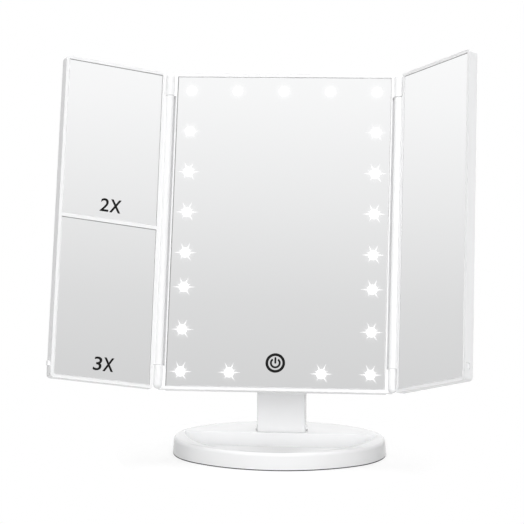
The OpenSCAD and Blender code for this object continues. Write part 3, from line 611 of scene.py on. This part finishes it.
def makeNeckBlock(grow, low, high):
    size = (neck["width"] + 2 * grow, neck["depth"] + 2 * grow, high - low)
    middle = (0, neck["middle"], (low + high) / 2)
    bpy.ops.mesh.primitive_cube_add(size=1, location=middle, scale=size)
    piece = bpy.context.object
    bpy.ops.object.transform_apply(location=True, rotation=False, scale=True)
    choose(piece, edges=lambda a, b: abs(a.z - b.z) > within["level"])
    bpy.ops.mesh.bevel(offset=neck["corner"] + grow, segments=neck["cornerSteps"], affect="EDGES")
    return finishEdit(piece)


def makeTabBlock(node):
    # room for a release tab and its travel towards the middle
    low, high = (Vector(corner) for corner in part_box(node))
    low, high = low - Vector((neck["tabRoom"],) * 3), high + Vector((neck["tabRoom"],) * 3)
    if high.x < 0:
        high.x += neck["tabTravel"]
    else:
        low.x -= neck["tabTravel"]
    bpy.ops.mesh.primitive_cube_add(size=1, location=(low + high) / 2, scale=high - low)
    piece = bpy.context.object
    bpy.ops.object.transform_apply(location=True, rotation=False, scale=True)
    deselect()
    return piece


def keepInFront(piece, limit):
    choose(piece, faces=lambda face: True)
    bpy.ops.mesh.bisect(plane_co=(0, limit, 0), plane_no=(0, 1, 0), use_fill=True, clear_outer=True)
    return finishEdit(piece)


def combine(piece, other, operation):
    addModifier(piece, "BOOLEAN", object=other, operation=operation, solver="EXACT")
    bpy.data.objects.remove(other)
    return piece


def copyOfTray():
    deselect()
    piece = nodes["base_tray"].copy()
    piece.data = piece.data.copy()
    bpy.context.scene.collection.objects.link(piece)
    choose(piece, faces=lambda face: True)
    bpy.ops.mesh.remove_doubles(threshold=weld["node"])
    return finishEdit(piece)


def makeDeck():
    # a thin deck level with the rim, solid in front, where the tray is cut into it
    front = makeOvalBlock((base["fill"],) * 2, (base["floor"] - base["spare"], base["height"]))
    deck = makeOvalBlock((base["fill"],) * 2, (base["deck"] - base["sink"], base["height"]))
    return combine(keepInFront(front, base["deckBack"]), deck, "UNION")


def makeGroove():
    # the gap round the foot of the neck
    top = base["height"] + base["spare"]
    foot = makeNeckBlock(neck["gap"], neck["groove"], top)
    core = makeNeckBlock(-neck["gap"] / 2, neck["groove"] - base["spare"], top + base["spare"])
    return combine(foot, core, "DIFFERENCE")


def makeWall():
    # the wall all round, before its outside is cut
    ring = makeOvalBlock((-base["proud"],) * 2, (base["pad"] - base["over"], base["height"] + base["over"]))
    insets = (base["wall"], base["wall"] + base["draft"])
    hollow = makeOvalBlock(insets, (0, base["height"] + base["spare"]))
    return combine(ring, hollow, "DIFFERENCE")


def makeOutside():
    # the form that the whole moulding is cut to, with the rim's round edge
    insets = (base["trim"], base["draft"] + base["trim"])
    piece = makeOvalBlock(insets, (base["pad"] + base["seat"], base["height"] - base["skim"]))
    choose(piece, edges=lambda a, b: min(a.z, b.z) > base["deck"])
    bpy.ops.mesh.bevel(offset=base["edge"], segments=base["edgeSteps"], affect="EDGES")
    return finishEdit(piece)


def makeCrescent():
    # the hollow of the tray: round in front, with a straight back
    middle = (0, base["trayMiddle"], base["floor"] + base["height"] / 2)
    bpy.ops.mesh.primitive_cylinder_add(vertices=base["traySides"], radius=base["trayRadius"],
                                        depth=base["height"], location=middle)
    bpy.ops.object.transform_apply(location=True, rotation=False, scale=False)
    return keepInFront(bpy.context.object, base["deckFront"])


def onLip(point):
    # whether a point lies on the upper edge of the tray's hollow
    reach = math.hypot(point.x, point.y - base["trayMiddle"])
    back = point.y - base["deckFront"]
    onArc = abs(reach - base["trayRadius"]) < within["arc"] and back < within["line"]
    onDeck = abs(back) < within["line"] and reach < base["trayRadius"] + within["arc"]
    return point.z > base["height"] - within["level"] and (onArc or onDeck)


def makeTray():
    # the moulding of the frame, with its deck level with the rim and a crescent tray
    piece = copyOfTray()
    combine(piece, makeDeck(), "UNION")
    combine(piece, makeGroove(), "DIFFERENCE")
    for tab in ("release_tab_left", "release_tab_right"):
        combine(piece, makeTabBlock(tab), "DIFFERENCE")
    combine(piece, makeWall(), "UNION")
    combine(piece, makeOutside(), "INTERSECT")
    combine(piece, makeCrescent(), "DIFFERENCE")
    choose(piece, edges=lambda a, b: onLip(a) and onLip(b))
    bpy.ops.mesh.bevel(offset=base["lip"], segments=2, affect="EDGES")
    bpy.ops.mesh.select_all(action="SELECT")
    bpy.ops.mesh.remove_doubles(threshold=weld["moulding"])
    bpy.ops.mesh.dissolve_degenerate(threshold=weld["sliver"])
    finishEdit(piece)
    piece.name = piece.data.name = "trayMoulding"
    dress(piece, slotFinish["shell"])
    settle(piece, Matrix.Identity(4), "stand", smooth=base["smooth"])
    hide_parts("base_tray")


def makePad():
    # the pad is dark rubber, and it reaches almost to the wall so that its edge also stands in for the
    # contact shadow under the base
    piece = makeOvalBlock((base["padInset"],) * 2, (0, base["pad"]))
    choose(piece, edges=lambda a, b: abs(a.z - b.z) < within["level"])
    bpy.ops.mesh.bevel(offset=base["padEdge"], segments=2, affect="EDGES")
    finishEdit(piece)
    piece.name = piece.data.name = "footPad"
    dress(piece, slotFinish["rubber"])
    settle(piece, Matrix.Identity(4), "stand", smooth=base["smooth"])
    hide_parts("non_slip_pad")


makeTray()
makePad()
print("tray and pad made")


upright = (math.radians(90), 0, 0)  # turns a flat form up to face the front
# lit windows in the centre glass, placed from its middle
lamps = {
    "x": 71 * mm,
    "z": 109 * mm,
    "rows": (1, 0.706, 0.413, 0.124, -0.165, -0.408, -0.706, -1),
    "topRow": (-0.5, 0, 0.5),
    "lowX": 34.5 * mm,
    "reach": 9 * mm,
    "inset": 0.6,
    "sides": 40,
    "proud": 0.04 * mm,
}


def makeLamps():
    spots = [(side * lamps["x"], row * lamps["z"]) for side in (-1, 1) for row in lamps["rows"]]
    spots += [(x * lamps["x"], lamps["z"]) for x in lamps["topRow"]]
    spots += [(x, -lamps["z"]) for x in (-lamps["lowX"], lamps["lowX"])]
    bpy.ops.mesh.primitive_circle_add(vertices=lamps["sides"], radius=lamps["reach"], fill_type="NGON",
                                      rotation=upright)
    first = bpy.context.object
    bpy.ops.object.transform_apply(location=False, rotation=True, scale=False)
    choose(first, faces=lambda face: True)
    bpy.ops.mesh.inset(thickness=lamps["reach"] * lamps["inset"])
    finishEdit(first)
    layer = first.data.uv_layers.new(name="spot")
    for loop in first.data.loops:
        corner = first.data.vertices[loop.vertex_index].co / lamps["reach"]
        layer.data[loop.index].uv = (corner.x * 0.5 + 0.5, corner.z * 0.5 + 0.5)
    copies = []
    for x, z in spots:
        copy = bpy.data.objects.new("window", first.data.copy())
        bpy.context.scene.collection.objects.link(copy)
        copy.location = (x, -lamps["proud"], z)
        copies.append(copy)
    bpy.data.objects.remove(first)
    piece = joined("litWindows", copies)
    dress(piece, glowFinish)
    return settle(piece, panelPlace, "mirror_unit")


makeLamps()
print("lit windows made")


# touch mark near the foot of the centre glass
mark = {
    "drop": 101.3 * mm,
    "ringOuter": 7.35 * mm,
    "ringWidth": 2.05 * mm,
    "arcOuter": 4.05 * mm,
    "arcWidth": 1.5 * mm,
    "arcGap": 36,
    "barLow": -0.5 * mm,
    "barHigh": 4.4 * mm,
    "barWidth": 1.45 * mm,
    "barRound": 0.4,  # share of its width
    "steps": 72,
    "weld": 0.01 * mm,
    "film": 0.05 * mm,
    "lift": 0.01 * mm,  # off the glass
}


def makeBand(outer, width, gap):
    # one edge across the band, spun round the middle and open by the gap on both sides of the top
    middle = (0, 0, outer - width / 2)
    bpy.ops.mesh.primitive_plane_add(size=width, location=middle, rotation=upright)
    piece = bpy.context.object
    bpy.ops.object.transform_apply(location=True, rotation=True, scale=True)
    choose(piece, edges=lambda a, b: max(a.x, b.x) < 0)
    bpy.ops.mesh.select_all(action="INVERT")
    bpy.ops.mesh.delete(type="EDGE")
    bpy.ops.mesh.select_all(action="SELECT")
    bpy.ops.transform.resize(value=(0, 1, 1), center_override=(0, 0, 0))
    sweep = math.radians(360 - 2 * gap)
    bpy.ops.mesh.spin(steps=mark["steps"], angle=sweep, center=(0, 0, 0), axis=(0, 1, 0))
    bpy.ops.mesh.select_all(action="SELECT")
    bpy.ops.mesh.remove_doubles(threshold=mark["weld"])
    finishEdit(piece)
    piece.data.transform(Matrix.Rotation(math.radians(-gap), 4, "Y"))
    return piece


def makeMark():
    ring = makeBand(mark["ringOuter"], mark["ringWidth"], 0)
    arc = makeBand(mark["arcOuter"], mark["arcWidth"], mark["arcGap"])
    middle = (0, 0, (mark["barLow"] + mark["barHigh"]) / 2)
    bpy.ops.mesh.primitive_plane_add(size=1, location=middle, rotation=upright)
    bar = bpy.context.object
    bar.scale = (mark["barWidth"], mark["barHigh"] - mark["barLow"], 1)
    bpy.ops.object.transform_apply(location=True, rotation=True, scale=True)
    choose(bar, faces=lambda face: True)
    bpy.ops.mesh.bevel(offset=mark["barWidth"] * mark["barRound"], segments=4, affect="VERTICES")
    finishEdit(bar)
    piece = joined("touchMark", [ring, arc, bar])
    addModifier(piece, "SOLIDIFY", thickness=mark["film"], offset=0)
    piece.location = (0, -mark["film"] / 2 - mark["lift"], -mark["drop"])
    dress(piece, inkFinish)
    return settle(piece, panelPlace, "mirror_unit")


makeMark()
print("touch mark made")


# magnification numerals on the left wing
numerals = {
    "upper": {"low": 6.7 * mm, "high": 16.9 * mm,
              "glyphs": (("2", 54.0 * mm, 46.6 * mm, 0.18 * mm), ("X", 46.0 * mm, 36.0 * mm, 0.36 * mm))},
    "lower": {"low": -113.8 * mm, "high": -103.4 * mm,
              "glyphs": (("3", 53.2 * mm, 45.7 * mm, 0.18 * mm), ("X", 45.3 * mm, 35.9 * mm, 0.36 * mm))},
    "slant": 0.12,
    "size": 14 * mm,
    "curveSteps": 6,
    "film": 0.05 * mm,
    "lift": 0.01 * mm,
}


def makeGlyph(letter, start, end, weight, height):
    # one slanted letter, fitted between its distances from the hinge
    deselect()
    bpy.ops.object.text_add()
    text = bpy.context.object
    text.data.body = letter
    text.data.size = numerals["size"]
    text.data.offset = weight
    text.data.resolution_u = numerals["curveSteps"]
    text.data.extrude = numerals["film"] / 2
    deselect()
    text.select_set(True)
    bpy.context.view_layer.objects.active = text
    bpy.ops.object.convert(target="MESH")
    piece = bpy.context.object
    lean = Matrix.Identity(4)
    lean[0][1] = numerals["slant"]
    piece.data.transform(lean)
    points = [v.co for v in piece.data.vertices]
    lowX, highX = min(p.x for p in points), max(p.x for p in points)
    lowY, highY = min(p.y for p in points), max(p.y for p in points)
    fit = Matrix.Diagonal(((start - end) / (highX - lowX), height / (highY - lowY), 1, 1))
    piece.data.transform(Matrix.Translation((-start, 0, 0)) @ fit @ Matrix.Translation((-lowX, -lowY, 0)))
    return piece


def makeNumeral(name, low, high, glyphs):
    piece = joined(name, [makeGlyph(*glyph, high - low) for glyph in glyphs])
    piece.rotation_euler = upright
    piece.location = (0, pose["hingeOut"] - numerals["film"] / 2 - numerals["lift"], low)
    dress(piece, inkFinish)
    return settle(piece, wingPlace(-1), "left_wing")


makeNumeral("upperNumeral", **numerals["upper"])
makeNumeral("lowerNumeral", **numerals["lower"])
print("numerals made")


# floor, world and lamps
light = {
    "ambient": 0.04,
    # what the panes mirror: tone by how far the mirrored ray rises along the panel
    "band": ((0.10, 0.655), (0.156, 0.68), (0.192, 0.74), (0.234, 0.86), (0.276, 0.965), (0.30, 1.0)),
    "floorSize": 32,
    "floorShare": 0.5,
    "floorReach": 0.125,
    "floorBounce": 0.45,
    "aim": (0, 0, 0.14),
    "front": {"from": (0.2, -2.0, 0.55), "size": 1.6, "power": 35},
    "high": {"from": (0.3, -1.5, 1.5), "size": 1.4, "power": 5},
    "left": {"from": (-1.8, -1.0, 0.6), "size": 1.2, "power": 3.5},
    "top": {"from": (0.0, 0.3, 1.8), "size": 1.4, "power": 30},
    "rear": {"from": (0.4, 1.9, 0.9), "size": 1.4, "power": 12},
}


def makeFloor():
    material = bpy.data.materials.new("paleFloor")
    material.use_nodes = True
    tree = material.node_tree
    tree.nodes.clear()
    path = tree.nodes.new("ShaderNodeLightPath")
    seen = Wire(tree, path.outputs["Is Camera Ray"]).larger(Wire(tree, path.outputs["Is Glossy Ray"]))
    glow = addNode(tree, "ShaderNodeEmission", inputs={"Color": (1, 1, 1, 1), "Strength": 1.0})
    lit = addNode(tree, "ShaderNodeBsdfDiffuse", inputs={"Color": (1, 1, 1, 1)})
    place = addNode(tree, "ShaderNodeTexCoord", output=3)
    distance = addNode(tree, "ShaderNodeVectorMath", {"operation": "LENGTH"}, {0: place}, output=1)
    near = ((light["floorReach"] - distance) / light["floorReach"]).clamped()
    shown = addNode(tree, "ShaderNodeMixShader", inputs=[near ** 0.5 * light["floorShare"], glow, lit])
    bounce = (light["floorBounce"],) * 3
    unseen = addNode(tree, "ShaderNodeBsdfDiffuse", inputs={"Color": (*bounce, 1)})
    both = addNode(tree, "ShaderNodeMixShader", inputs=[seen, unseen, shown])
    addNode(tree, "ShaderNodeOutputMaterial", inputs={"Surface": both})
    bpy.ops.mesh.primitive_plane_add(size=light["floorSize"])
    floor = bpy.context.object
    floor.name = "floor"
    dress(floor, material)
    floor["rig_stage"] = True
    deselect()


def makeWorld():
    world = bpy.data.worlds.new("studio")
    bpy.context.scene.world = world
    world.use_nodes = True
    tree = world.node_tree
    tree.nodes.clear()
    path = tree.nodes.new("ShaderNodeLightPath")
    toward = addNode(tree, "ShaderNodeTexCoord", output=0)
    settings, inputs = {"operation": "DOT_PRODUCT"}, {0: toward, 1: tuple(panelUp)}
    height = addNode(tree, "ShaderNodeVectorMath", settings, inputs, output=1)
    stops = [(at, (tone,) * 3) for at, tone in light["band"]]
    band = addNode(tree, "ShaderNodeValToRGB", {"stops": stops}, {0: height})
    ambient = (light["ambient"],) * 3
    unseen = blended(tree, Wire(tree, path.outputs["Is Glossy Ray"]), ambient, band)
    colour = blended(tree, Wire(tree, path.outputs["Is Camera Ray"]), unseen, (1, 1, 1))
    sky = addNode(tree, "ShaderNodeBackground", inputs={"Color": colour, "Strength": 1.0})
    addNode(tree, "ShaderNodeOutputWorld", inputs={"Surface": sky})


def makeLamp(name):
    lamp = light[name]
    bpy.ops.object.light_add(type="AREA", location=lamp["from"])
    piece = bpy.context.object
    piece.name = name
    piece.data.size = lamp["size"]
    piece.data.energy = lamp["power"]
    toward = Vector(light["aim"]) - Vector(lamp["from"])
    piece.rotation_euler = toward.to_track_quat("-Z", "Y").to_euler()
    piece.visible_camera = False
    piece.visible_glossy = False
    deselect()


makeFloor()
makeWorld()
for name in ("front", "high", "left", "top", "rear"):
    makeLamp(name)
for piece in bpy.context.scene.objects:
    if piece.type == "MESH" and not piece.get("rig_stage"):
        piece.visible_glossy = False  # keeps the panes as clear of each other as in the photograph
bpy.context.scene.view_settings.view_transform = "Standard"
print("stage lit")
